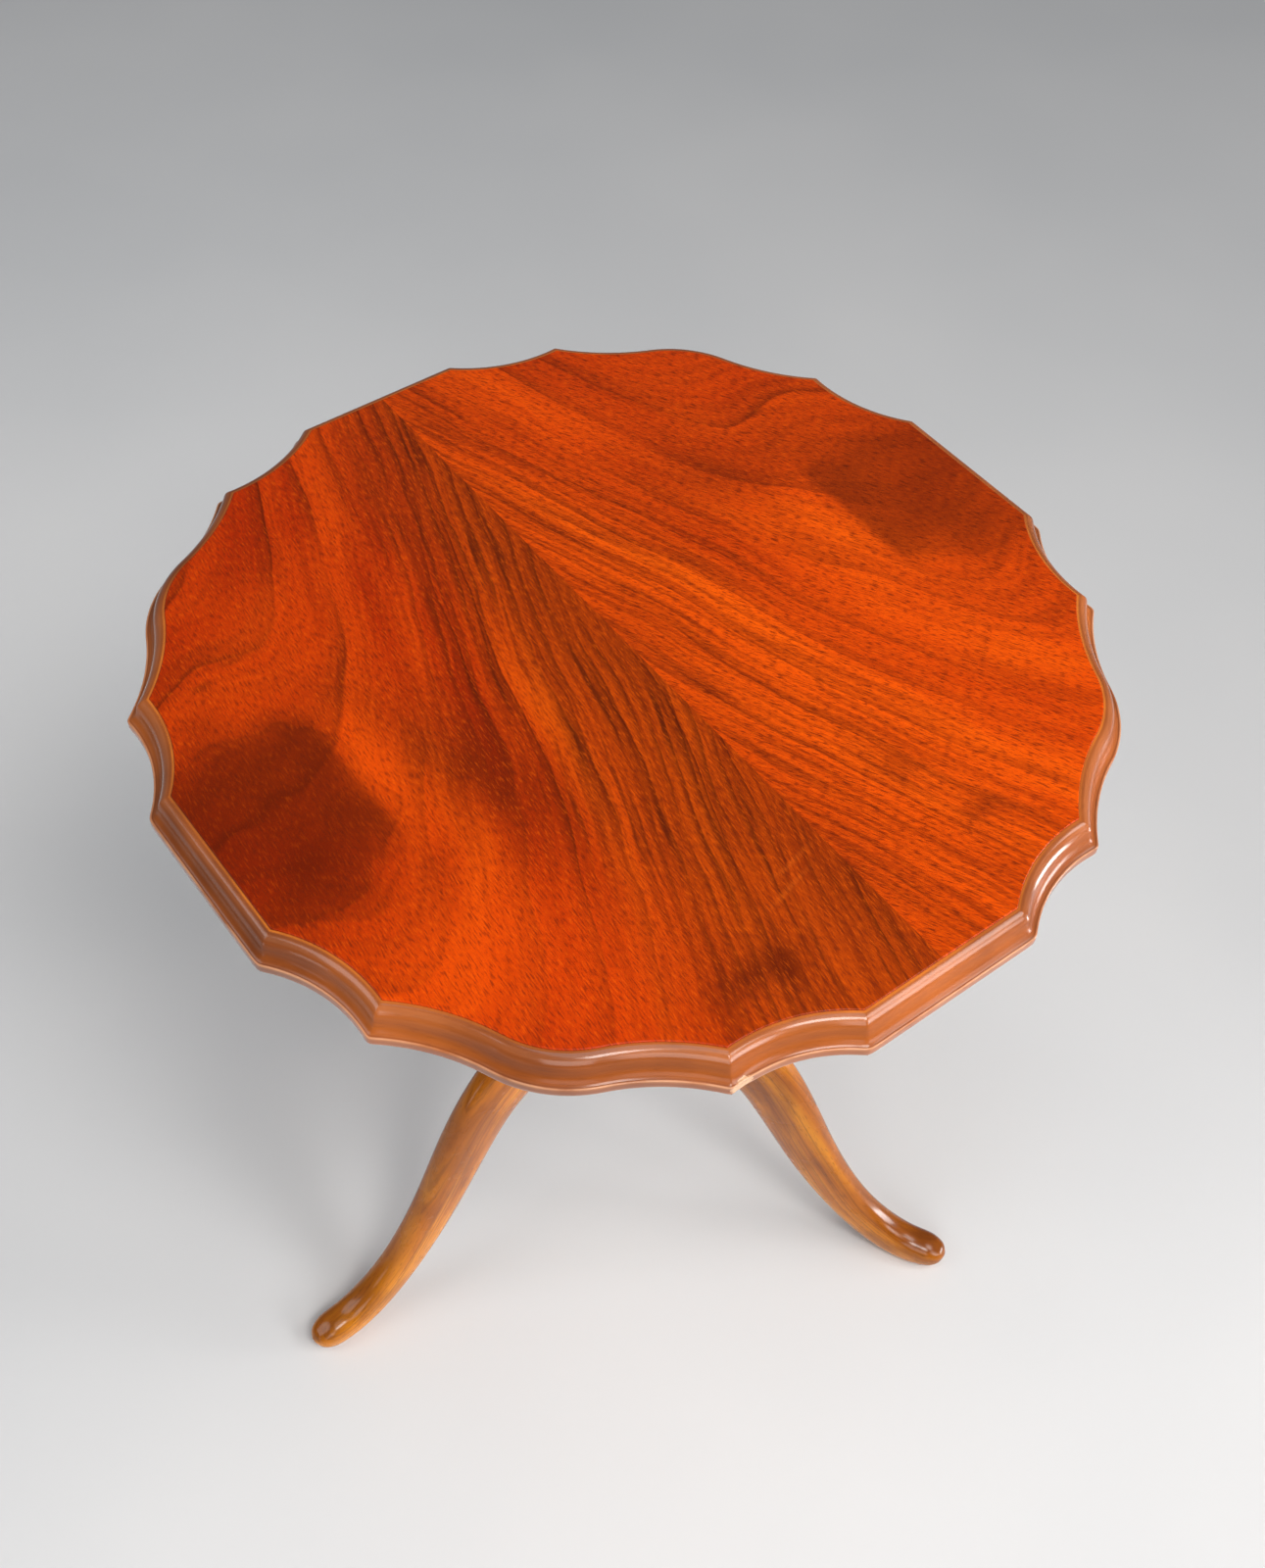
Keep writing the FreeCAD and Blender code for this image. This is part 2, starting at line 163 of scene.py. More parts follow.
def circles_meet(centre_a, radius_a, centre_b, radius_b, near):
    """The crossing of two circles in plan that lies nearer to a given point."""
    gap = abs(centre_b - centre_a)
    along = (radius_a**2 - radius_b**2 + gap**2) / (2 * gap)
    step = (centre_b - centre_a) / gap
    rise = 1j * step * math.sqrt(radius_a**2 - along**2)
    foot = centre_a + step * along
    return min((foot + rise, foot - rise), key=lambda point: abs(point - near))


SIDE_NORMAL = polar(1, SIDE_ANGLE)
CUSP = polar(CUSP_REACH, CUSP_ANGLE)
CORNER = SIDE_NORMAL * (SIDE_REACH - 1j * SIDE_LENGTH / 2)
LOBE_CENTRE = LOBE_REACH - LOBE_RADIUS + 0j
HOLLOW_CENTRE = circles_meet(LOBE_CENTRE, LOBE_RADIUS + HOLLOW_RADIUS, CUSP, HOLLOW_RADIUS,
                             polar(CUSP_REACH + HOLLOW_RADIUS, CUSP_ANGLE))
SCALLOP_CENTRE = circles_meet(CUSP, SCALLOP_RADIUS, CORNER, SCALLOP_RADIUS,
                              polar(CUSP_REACH + SCALLOP_RADIUS, CUSP_ANGLE))


def arc_points(centre, start, end):
    """Even points on a circle about centre from start up to end, the short way round."""
    share = np.arange(DENSE) / DENSE
    turn = np.angle((end - centre) / (start - centre))
    return centre + (start - centre) * np.exp(1j * turn * share)


def edge_ring(offset, softness):
    """Kept points of the scalloped edge, moved outwards by offset, as complex numbers.

    Six arcs and lines make a quarter and four turned quarters the ring. A Gaussian along the ring, as wide
    as softness, rounds the cusps. The kept points crowd towards the joints by a cosine spacing."""
    to_hollow = (HOLLOW_CENTRE - LOBE_CENTRE) / abs(HOLLOW_CENTRE - LOBE_CENTRE)
    join = LOBE_CENTRE + to_hollow * (LOBE_RADIUS + offset)
    cusp = circles_meet(HOLLOW_CENTRE, HOLLOW_RADIUS - offset, SCALLOP_CENTRE, SCALLOP_RADIUS - offset, CUSP)
    local = SCALLOP_CENTRE / SIDE_NORMAL
    inwards = SIDE_REACH + offset - local.real
    run = math.sqrt((SCALLOP_RADIUS - offset)**2 - inwards**2)
    ends = [SIDE_NORMAL * (local + inwards + 1j * sign * run) for sign in (1, -1)]
    corner = min(ends, key=lambda point: abs(point - CORNER))
    far_corner = SIDE_NORMAL * (corner / SIDE_NORMAL).conjugate()
    share = np.arange(DENSE) / DENSE
    quarter = np.concatenate((
        arc_points(SCALLOP_CENTRE.conjugate(), corner.conjugate(), cusp.conjugate()),
        arc_points(HOLLOW_CENTRE.conjugate(), cusp.conjugate(), join.conjugate()),
        arc_points(LOBE_CENTRE, join.conjugate(), join),
        arc_points(HOLLOW_CENTRE, join, cusp),
        arc_points(SCALLOP_CENTRE, cusp, corner),
        corner + (far_corner - corner) * share))
    ring = (1j ** np.arange(4)[:, None] * quarter[None, :]).ravel()
    spacing = np.abs(np.diff(ring)).mean()
    waves = np.fft.fftfreq(len(ring))
    ring = np.fft.ifft(np.fft.fft(ring) * np.exp(-2 * (np.pi * waves * softness / spacing) ** 2))
    kept = np.rint(DENSE * (1 - np.cos(np.pi * np.arange(KEPT) / KEPT)) / 2).astype(int)
    return ring.reshape(EDGE_PARTS, DENSE)[:, kept].ravel()


def rings_at(profile):
    """Grid of a profile of (offset, drop from the table's top, softness) carried round the edge."""
    plan = np.array([edge_ring(offset, softness) for offset, drop, softness in profile])
    height = np.broadcast_to(TABLE_HEIGHT - np.array(profile)[:, 1:2], plan.shape)
    return np.stack((plan.real, plan.imag, height), -1)


def shrunk(ring, shares):
    """Copies of a ring drawn in towards the axis to shares of its size."""
    factors = np.array([(share, share, 1.0) for share in shares])
    return ring[None] * factors[:, None, :]


# Moulded edge from under the veneer outwards and down: offset, drop, softness of the cusps, then how much of
# the golden arris line (partly a painted highlight), of the pale bead (wear and a painted highlight) and of
# painted shade in the corners shows there
EDGE_PROFILE = np.array((
    (-1.2, 0.70, 0.20, 0.0, 0.0, 0.0), (0.0, 0.70, 0.20, 0.3, 0.0, 0.3),
    (0.45, 0.70, 0.22, 1.0, 0.0, 0.0), (0.90, 0.73, 0.24, 0.7, 0.0, 0.0),
    (1.30, 0.80, 0.26, 0.1, 0.0, 0.2), (1.70, 0.90, 0.28, 0.0, 0.0, 0.4),
    (2.10, 1.03, 0.30, 0.0, 0.0, 0.2), (2.60, 1.20, 0.32, 0.0, 0.1, 0.0),
    (3.20, 1.53, 0.36, 0.0, 0.1, 0.0), (3.75, 1.93, 0.40, 0.0, 0.1, 0.0),
    (4.25, 2.38, 0.44, 0.0, 0.1, 0.0), (4.72, 2.88, 0.48, 0.0, 0.0, 0.0),
    (5.12, 3.42, 0.54, 0.0, 0.0, 0.0), (5.45, 4.00, 0.60, 0.0, 0.0, 0.0),
    (5.74, 4.64, 0.66, 0.0, 0.0, 0.0), (5.96, 5.32, 0.72, 0.0, 0.0, 0.0),
    (6.13, 6.05, 0.78, 0.0, 0.0, 0.0), (6.25, 6.85, 0.84, 0.0, 0.0, 0.0),
    (6.38, 7.70, 0.90, 0.0, 0.0, 0.0), (6.60, 8.60, 0.96, 0.0, 0.0, 0.0),
    (6.92, 9.50, 1.02, 0.0, 0.0, 0.0), (7.36, 10.35, 1.08, 0.0, 0.0, 0.0),
    (7.90, 11.10, 1.14, 0.0, 0.0, 0.1), (8.50, 11.70, 1.20, 0.0, 0.0, 0.2),
    (9.10, 12.12, 1.26, 0.0, 0.1, 0.4), (9.52, 12.36, 1.30, 0.0, 0.0, 0.9),
    (9.70, 12.48, 1.32, 0.0, 0.0, 1.0), (9.86, 12.42, 1.34, 0.0, 0.3, 0.5),
    (10.06, 12.32, 1.38, 0.0, 0.9, 0.0), (10.32, 12.32, 1.42, 0.0, 1.0, 0.0),
    (10.56, 12.44, 1.46, 0.0, 1.0, 0.0), (10.73, 12.70, 1.50, 0.0, 0.8, 0.0),
    (10.80, 13.10, 1.50, 0.0, 0.4, 0.0), (10.80, 14.40, 1.50, 0.0, 0.1, 0.1),
    (10.80, 15.80, 1.50, 0.0, 0.2, 0.0), (10.75, 16.40, 1.50, 0.0, 0.7, 0.0),
    (10.55, 16.94, 1.50, 0.0, 0.9, 0.0), (10.20, 17.38, 1.50, 0.0, 0.6, 0.0),
    (9.78, 17.63, 1.50, 0.0, 0.2, 0.2), (9.38, 17.70, 1.50, 0.0, 0.0, 0.5)))
# Rings that close the board over and under, as shares of the edge, from the middle outwards
BOARD_SHARES = (0.02, 0.5, 0.9)
# Softness of the ring that measures lengths along the edge
MEASURE_SOFTNESS = 0.1
# Old chip in the lower bead just past the sharp cusp right of the front lobe: the arc it lies on, its place
# along it, half length, drop, half height and depth, then how ragged it is and its waves along and down
CHIP_ARC = 22
CHIP_ALONG = 4.6
CHIP_LENGTH = 6.2
CHIP_DROP = 14.6
CHIP_HEIGHT = 2.6
CHIP_DEPTH = 1.0
CHIP_RAGGED = 0.35
CHIP_WAVES_ALONG = 2.3
CHIP_WAVES_DOWN = 1.9


def moulded_top(finish):
    """Core board: the moulded profile carried round the edge, closed over and under by shrunk rings.

    A steep-sided hump along the edge and down its face marks the chip, and its points move inwards."""
    edge = rings_at(EDGE_PROFILE[:, :3])
    drop = EDGE_PROFILE[:, 1]
    length = np.concatenate(([0.0], np.abs(np.diff(edge_ring(0, MEASURE_SOFTNESS))).cumsum()))
    along = (length - length[CHIP_ARC * KEPT] - CHIP_ALONG) / CHIP_LENGTH
    down = (drop - CHIP_DROP) / CHIP_HEIGHT
    chip = np.exp(-((along**2)[None, :] + (down**2)[:, None]) ** 2)
    waves = np.sin(CHIP_WAVES_ALONG * length)[None, :] * np.cos(CHIP_WAVES_DOWN * drop)[:, None]
    depth = CHIP_DEPTH * chip * (1 + CHIP_RAGGED * waves)
    inwards = -edge * (1, 1, 0) / np.linalg.norm(edge[..., :2], axis=-1)[..., None]
    edge = edge + depth[..., None] * inwards
    over = shrunk(edge[0], BOARD_SHARES)
    under = shrunk(edge[-1], BOARD_SHARES[::-1])
    grid = np.concatenate((over, edge, under))
    rim = slice(len(over), -len(under))
    marks = np.zeros(grid.shape)
    marks[..., 0] = length * MM
    # gold and pale carry the golden arris line and the pale bead, both partly painted highlights
    marks[rim, :, 1:] = EDGE_PROFILE[:, None, 3:5]
    chip_and_corner_shade = np.zeros(grid.shape)
    chip_and_corner_shade[rim, :, 0] = chip
    # The second value is painted shade in the moulding's corners and quirks
    chip_and_corner_shade[rim, :, 1] = EDGE_PROFILE[:, 5:6]
    points, faces = capped(grid)
    put_mesh("moulded_top", points, faces, finish, ("top_board",),
             {"edge_marks": with_ends(marks), "edge_chip_and_corner_shade": with_ends(chip_and_corner_shade)}, sharp=60.0)


# Veneer's rim from its face over the eased arris and under: offset, drop, softness
VENEER_RIM = np.array((
    (-0.70, 0.000, 0.16), (-0.40, 0.015, 0.17), (-0.18, 0.08, 0.18), (-0.05, 0.20, 0.19),
    (0.00, 0.36, 0.20), (0.00, 0.70, 0.20)))
VENEER_SHARES = (0.06, 0.15, 0.3, 0.45, 0.6, 0.75, 0.88, 0.96)
# The seam starts in the middle of this part of the ring, a straight side
SEAM_PART = 11
SEAM_COLUMN = SEAM_PART * KEPT + KEPT // 2
HALF_COLUMNS = EDGE_PARTS * KEPT // 2


def veneer_leaf(name, first, node, finish):
    """One leaf of the veneer: half of the ring, from the middle outwards, over the arris and back under.

    The middle points and both end columns lie on the seam, so one flat face closes the seam's side."""
    edge = rings_at(VENEER_RIM)
    columns = (first + np.arange(HALF_COLUMNS + 1)) % (EDGE_PARTS * KEPT)
    grid = np.concatenate((shrunk(edge[0], VENEER_SHARES), edge, shrunk(edge[-1], VENEER_SHARES[::-1])))
    grid = grid[:, columns]
    rows, count = grid.shape[:2]
    top = rows * count
    bottom = top + 1
    middle = np.array(((0, 0, TABLE_HEIGHT), (0, 0, TABLE_HEIGHT - VENEER_THICKNESS)))
    points = np.concatenate((grid.reshape(-1, 3), middle))
    here = np.arange(count - 1)
    last = (rows - 1) * count
    faces = grid_quads(rows, count, False)
    faces += np.stack((np.full(count - 1, top), here, here + 1), -1).tolist()
    faces += np.stack((np.full(count - 1, bottom), last + here + 1, last + here), -1).tolist()
    starts = (np.arange(rows) * count).tolist()
    ends = (np.arange(rows) * count + count - 1).tolist()
    faces.append([top] + ends + [bottom] + starts[::-1])
    put_mesh(name, points, faces, finish, (node,))


# Legs


# Lower outline (reach, height), upper outline (reach, height) and width at each station, as shares
LEG_STATIONS = np.array((
    (0.000, 0.987, 0.000, 1.000, 1.00), (0.062, 0.987, 0.085, 0.997, 1.00),
    (0.118, 0.987, 0.167, 0.981, 1.00), (0.178, 0.970, 0.324, 0.885, 0.98),
    (0.248, 0.910, 0.422, 0.775, 0.95), (0.334, 0.764, 0.504, 0.632, 0.92),
    (0.427, 0.549, 0.580, 0.466, 0.89), (0.524, 0.350, 0.652, 0.327, 0.88),
    (0.634, 0.177, 0.732, 0.212, 0.90), (0.758, 0.046, 0.819, 0.133, 0.96),
    (0.880, -0.006, 0.896, 0.098, 1.00), (0.930, -0.003, 0.925, 0.094, 0.99),
    (0.965, 0.012, 0.955, 0.088, 0.90), (0.985, 0.033, 0.978, 0.078, 0.70),
    (0.996, 0.055, 0.993, 0.0665, 0.38), (1.0, 0.070, 0.9995, 0.0555, 0.12)))
LEG_ROWS = 150
LEG_COLUMNS = 56
# Power by which the rows crowd towards the toe
TOE_CROWDING = 1.35
# Slope in degrees of the plank's straight grain in the leg's upright plane, and its share against the bend
GRAIN_SLOPE = -52.0
GRAIN_SHARE = 0.16
# Millimetres from one leg's place in the plank to the next one's, and the column's place
LEG_PLANK_STEP = 37.0
COLUMN_PLANK_PLACE = 40.0


def squared(wave):
    """A cosine or sine pushed outwards to a superellipse's coordinate, with its sign kept."""
    return (np.sign(wave) * np.abs(wave) ** (2 / SECTION_POWER))[None, :]


def swept_leg(name, angle, plank_place, finish):
    """Cabriole leg: a superellipse between a lower and an upper outline, carried from root to toe.

    Both outlines and the width are smooth curves through the stations, spaced by the length of the leg's
    middle line. The sole is cut flat on the floor and the root's underside flat for the plate."""
    run = LEG_REACH - FLAT_REACH
    stations = LEG_STATIONS * np.array((run, ROOT_BOTTOM, run, KNEE_HEIGHT, LEG_WIDTH))
    middle = (stations[:, 0:2] + stations[:, 2:4]) / 2
    knots = np.concatenate(([0.0], np.sqrt((np.diff(middle, axis=0) ** 2).sum(1)).cumsum()))
    share = 1 - (1 - np.linspace(0, 1, LEG_ROWS)) ** TOE_CROWDING
    along = knots[-1] * share
    curve = smooth_through(knots, stations, along)
    lower = curve[:, None, 0:2]
    upper = curve[:, None, 2:4]
    width = curve[:, None, 4]
    turn = 2 * np.pi * np.arange(LEG_COLUMNS) / LEG_COLUMNS
    rise = squared(np.cos(turn))
    plane = (lower + upper) / 2 + (upper - lower) / 2 * rise[..., None]
    reach = plane[..., 0] + FLAT_REACH
    height = np.maximum(plane[..., 1], 0)
    height = np.where((reach < SEAT_REACH) & (rise < 0), np.maximum(height, ROOT_BOTTOM), height)
    across = width / 2 * squared(np.sin(turn))
    cosine = math.cos(math.radians(angle))
    sine = math.sin(math.radians(angle))
    grid = np.stack((reach * cosine - across * sine, reach * sine + across * cosine, height), -1)
    slope = math.radians(GRAIN_SLOPE)
    straight = height * math.cos(slope) - reach * math.sin(slope)
    thick = np.sqrt(((upper - lower) ** 2).sum(-1))
    depth = thick / 2 * rise + GRAIN_SHARE * straight
    whole = np.ones_like(across)
    grain = np.stack((along[:, None] * whole, across + plank_place, depth), -1)
    ridge = np.stack((np.maximum(rise, 0) ** 2 * whole, share[:, None] * whole, 0 * whole), -1)
    points, faces = capped(grid)
    put_mesh("swept_" + name, points, faces, finish, (name,),
             {"plank_grain": with_ends(grain) * MM, "ridge_marks": with_ends(ridge)}, sharp=50.0)


# Turned pieces


TURN_COLUMNS = 112


def turned(profile):
    """Grid of a profile of (radius, height) rows, from the top down, carried round the axis."""
    radius, height = np.array(profile).T
    turn = 2 * np.pi * np.arange(TURN_COLUMNS) / TURN_COLUMNS
    ring = np.exp(1j * turn)[None, :] * radius[:, None]
    return np.stack((ring.real, ring.imag, np.broadcast_to(height[:, None], ring.shape)), -1)


def arc_rows(centre, radius, start, end, count):
    """Rows of (radius, height) on an arc in the profile's plane, from one angle to another in degrees."""
    turn = np.radians(np.linspace(start, end, count))
    return np.stack((centre[0] + radius * np.cos(turn), centre[1] + radius * np.sin(turn)), -1)


def bead_rows(radius, middle, size, count):
    """Rows of a half-round bead that reaches out to a radius, about its middle height."""
    return arc_rows((radius - size / 2, middle), size / 2, 90, -90, count)


COLLAR_RADIUS = 31.0
COLLAR_HEIGHT = 9.0
COLLAR_ROWS = 15
NECK_RADIUS = 19.5
NECK_HEIGHT = 7.0
NECK_ROWS = 13
BASE_RADIUS = 27.0
BASE_TOP = 221.0
BASE_MIDDLE = 190.0
CAP_HEIGHT = 24.0
CAP_RADIUS = 25.0
CAP_WAIST_SHARE = 0.6
CAP_ROWS = 15
SPIGOT_RADIUS = 14.0
SPIGOT_TOP = 452.7
VASE_RADIUS = 28.0
VASE_ROWS = 50
# The vase's curve from its foot up, as shares of its radius and height
VASE_KNOTS = np.array((
    (0.62, 0.0), (0.66, 0.05), (0.97, 0.24), (1.0, 0.31), (0.86, 0.5), (0.6, 0.8), (0.53, 1.0)))
# Eased ends of the spigot and the base, the last ring before the axis, and the gap of two rows at a corner
ARRIS = 0.6
AXIS_RADIUS = 2.0
CORNER_GAP = 0.02


def turned_column(finish):
    """Column: spigot, hollow cap, neck ring, vase, collar and base, turned about the axis.

    The vase is a smooth curve through share points. Below FLAT_TOP each leg's flat pulls points back along
    the leg's direction until they lie on it."""
    cap_bottom = BLOCK_BOTTOM - CAP_HEIGHT
    vase_top = cap_bottom - NECK_HEIGHT
    vase_bottom = BASE_TOP + COLLAR_HEIGHT
    spigot = ((AXIS_RADIUS, SPIGOT_TOP), (SPIGOT_RADIUS - ARRIS, SPIGOT_TOP),
              (SPIGOT_RADIUS, SPIGOT_TOP - ARRIS), (SPIGOT_RADIUS, BLOCK_BOTTOM + CORNER_GAP))
    bend = np.pi / 2 * np.linspace(0, 1, CAP_ROWS)
    cap_hollow = CAP_RADIUS * (1 - CAP_WAIST_SHARE)
    cap = np.stack((CAP_RADIUS - cap_hollow * np.sin(bend),
                    BLOCK_BOTTOM - CAP_HEIGHT * (1 - np.cos(bend))), -1)
    neck = bead_rows(NECK_RADIUS, cap_bottom - NECK_HEIGHT / 2, NECK_HEIGHT, NECK_ROWS)
    at = np.linspace(1, 0, VASE_ROWS)
    swell = smooth_through(VASE_KNOTS[:, 1], VASE_KNOTS[:, :1], at)[:, 0]
    vase = np.stack((swell * VASE_RADIUS, vase_bottom + (vase_top - vase_bottom) * at), -1)
    collar = bead_rows(COLLAR_RADIUS, BASE_TOP + COLLAR_HEIGHT / 2, COLLAR_HEIGHT, COLLAR_ROWS)
    base = ((BASE_RADIUS, BASE_TOP), (BASE_RADIUS, FLAT_TOP + CORNER_GAP), (BASE_RADIUS, FLAT_TOP),
            (BASE_RADIUS, BASE_MIDDLE), (BASE_RADIUS, ROOT_BOTTOM + ARRIS),
            (BASE_RADIUS - ARRIS, ROOT_BOTTOM), (AXIS_RADIUS, ROOT_BOTTOM))
    grid = turned(np.concatenate((spigot, cap, neck, vase, collar, base)))
    low = (grid[..., 2] <= FLAT_TOP)[..., None]
    for angle in LEG_ANGLES.values():
        out = np.array((math.cos(math.radians(angle)), math.sin(math.radians(angle)), 0))
        past = np.maximum(grid @ out - FLAT_REACH, 0)[..., None]
        grid = grid - np.where(low, past * out, 0)
    points, faces = capped(grid)
    grain = np.stack((points[:, 2], points[:, 0] + COLUMN_PLANK_PLACE, points[:, 1]), -1) * MM
    put_mesh("turned_column", points, faces, finish, ("column",),
             {"plank_grain": grain}, sharp=35.0)


BLOCK_RADIUS = 62.0
BLOCK_ROUND = 8.0
BLOCK_ROWS = 12
# Gap between the spigot and the block's bore
BORE_GAP = 0.1


def round_block(finish):
    """Block under the top: flat face, upright side and a quarter-round lower rim, turned about the axis."""
    bore = SPIGOT_RADIUS + BORE_GAP
    rim = arc_rows((BLOCK_RADIUS - BLOCK_ROUND, BLOCK_BOTTOM + BLOCK_ROUND), BLOCK_ROUND, 0, -90, BLOCK_ROWS)
    over = ((bore, BLOCK_TOP), (BLOCK_RADIUS, BLOCK_TOP))
    under = ((bore, BLOCK_BOTTOM),)
    grid = turned(np.concatenate((over, rim, under)))
    rows, columns = grid.shape[:2]
    here = np.arange(columns)
    after = (here + 1) % columns
    last = (rows - 1) * columns
    faces = grid_quads(rows, columns, True)
    faces += np.stack((last + here, here, after, last + after), -1).tolist()
    put_mesh("round_block", grid.reshape(-1, 3), faces, finish, ("top_block",), sharp=35.0)


# Finishes


class Finish:
    """A material's nodes, with short calls that add one and set or link what goes into it."""

    def __init__(self, name):
        self.material = bpy.data.materials.new(name)
        self.material.use_nodes = True
        self.nodes = self.material.node_tree.nodes
        self.links = self.material.node_tree.links
        self.shader = self.nodes["Principled BSDF"]
        self.place = self.node("TexCoord").outputs["Object"]
        self.colour = None

    def feed(self, socket, source):
        """Links a socket to another one, or sets it to a constant."""
        if isinstance(source, bpy.types.NodeSocket):
            self.links.new(source, socket)
        else:
            socket.default_value = source

    def node(self, kind, inputs=(), **settings):
        """New node with its settings and inputs."""
        node = self.nodes.new("ShaderNode" + kind)
        for key, setting in settings.items():
            setattr(node, key, setting)
        for key, source in dict(inputs).items():
            self.feed(node.inputs[key], source)
        return node

    def math(self, operation, *sources):
        """Result of one of Blender's named operations."""
        return self.node("Math", enumerate(sources), operation=operation).outputs[0]

    def times(self, first, *others):
        """Product of values."""
        for other in others:
            first = self.math("MULTIPLY", first, other)
        return first

    def scaled(self, value, factor, plus):
        """A value times a factor, plus another value."""
        return self.math("MULTIPLY_ADD", value, factor, plus)

    def vector(self, x, y, z):
        """Vector of three values. A pair stands for a value and the factor that multiplies it."""
        parts = [self.times(*part) if isinstance(part, tuple) else part for part in (x, y, z)]
        return self.node("CombineXYZ", enumerate(parts)).outputs[0]

    def parts(self, vector):
        """The three values of a vector."""
        return self.node("SeparateXYZ", {0: vector}).outputs

    def attribute(self, name):
        """The three values of a vector that the mesh carries."""
        return self.parts(self.node("Attribute", attribute_name=name).outputs["Vector"])

    def laid(self, turn, scale):
        """Object coordinates scaled along each axis, then turned by degrees about the upright one."""
        settings = {"Vector": self.place, "Rotation": (0, 0, math.radians(turn)), "Scale": scale}
        return self.node("Mapping", settings).outputs[0]

    def noise(self, vector, scale, detail=2.0, roughness=0.5, distortion=0.0):
        """Level of a noise at a vector."""
        settings = {"Vector": vector, "Scale": scale, "Detail": detail, "Roughness": roughness,
                    "Distortion": distortion}
        return self.node("TexNoise", settings).outputs[0]

    def bell(self, x, y, centre, width):
        """Gaussian hump of two values about a centre, each over its own width."""
        square = 0.0
        for value, middle, half in zip((x, y), centre, width):
            away = self.times(self.math("SUBTRACT", value, middle), 1 / half)
            square = self.scaled(away, away, square)
        return self.math("EXPONENT", self.times(square, -1.0))

    def step(self, value, low, high):
        """Smooth step from 0 at low to 1 at high."""
        settings = {"Value": value, "From Min": low, "From Max": high}
        return self.node("MapRange", settings, interpolation_type="SMOOTHSTEP").outputs[0]

    def ramp(self, value, stops):
        """Colour between stops of (position, colour)."""
        node = self.node("ValToRGB", {0: value})
        marks = node.color_ramp.elements
        while len(marks) < len(stops):
            marks.new(0.5)
        for mark, (position, colour) in zip(marks, stops):
            mark.position = position
            mark.color = colour
        return node.outputs[0]

    def levels(self, value, stops):
        """Level between stops of (position, level)."""
        return self.ramp(value, [(position, (level, level, level, 1)) for position, level in stops])

    def mix(self, factor, first, second):
        """Colour between a first and a second one."""
        return self.node("Mix", {0: factor, 6: first, 7: second}, data_type="RGBA").outputs[2]

    def tint(self, factor, colour):
        """Lays a colour over the finish by a factor."""
        self.colour = self.mix(factor, self.colour, colour)

    def bump(self, height, strength, distance):
        """Fine relief of the surface."""
        settings = {"Height": height, "Strength": strength, "Distance": distance}
        self.feed(self.shader.inputs["Normal"], self.node("Bump", settings).outputs[0])

    def finish(self, roughness, **sockets):
        """The finished material, with more of its shader's sockets by name."""
        self.feed(self.shader.inputs["Base Color"], self.colour)
        self.feed(self.shader.inputs["Roughness"], roughness)
        for key, setting in sockets.items():
            self.feed(self.shader.inputs[key.replace("_", " ")], setting)
        return self.material


# Dark clouds and small marks of the veneer, then its bright places: place across and along the seam and half
# sizes, as shares of the lobes' reach, and level
VENEER_CLOUDS = (
    (-0.44, -0.10, 0.10, 0.22, 0.80), (-0.66, -0.32, 0.16, 0.12, 0.10),
    (-0.20, 0.66, 0.09, 0.20, 0.45), (0.47, 0.36, 0.10, 0.16, 0.40),
    (0.68, 0.30, 0.16, 0.08, 0.40), (-0.30, -0.80, 0.10, 0.035, 0.75),
    (-0.25, -0.82, 0.025, 0.05, 0.8), (0.30, -0.76, 0.05, 0.03, 0.5),
    (0.24, -0.58, 0.04, 0.04, 0.4), (-0.70, 0.44, 0.035, 0.010, 0.9),
    (-0.79, 0.41, 0.020, 0.012, 0.8), (0.70, 0.43, 0.03, 0.010, 0.7))
VENEER_GLOWS = (
    (-0.56, -0.50, 0.16, 0.26, 0.55), (-0.61, 0.04, 0.05, 0.20, 0.6),
    (0.40, -0.25, 0.20, 0.30, 0.40), (0.30, 0.62, 0.24, 0.20, 0.30),
    (-0.60, 0.50, 0.16, 0.16, 0.55), (-0.78, -0.46, 0.15, 0.15, 0.70),
    (-0.74, 0.36, 0.12, 0.12, 0.40))
# Middle of the dark eye on each leaf and its spread, from the seam and along it, and its straight side
EYE_MIDDLE = (0.86, 0.02)
EYE_SPREAD = (0.28, 0.30)
EYE_SIDE = (0.635, 0.67)


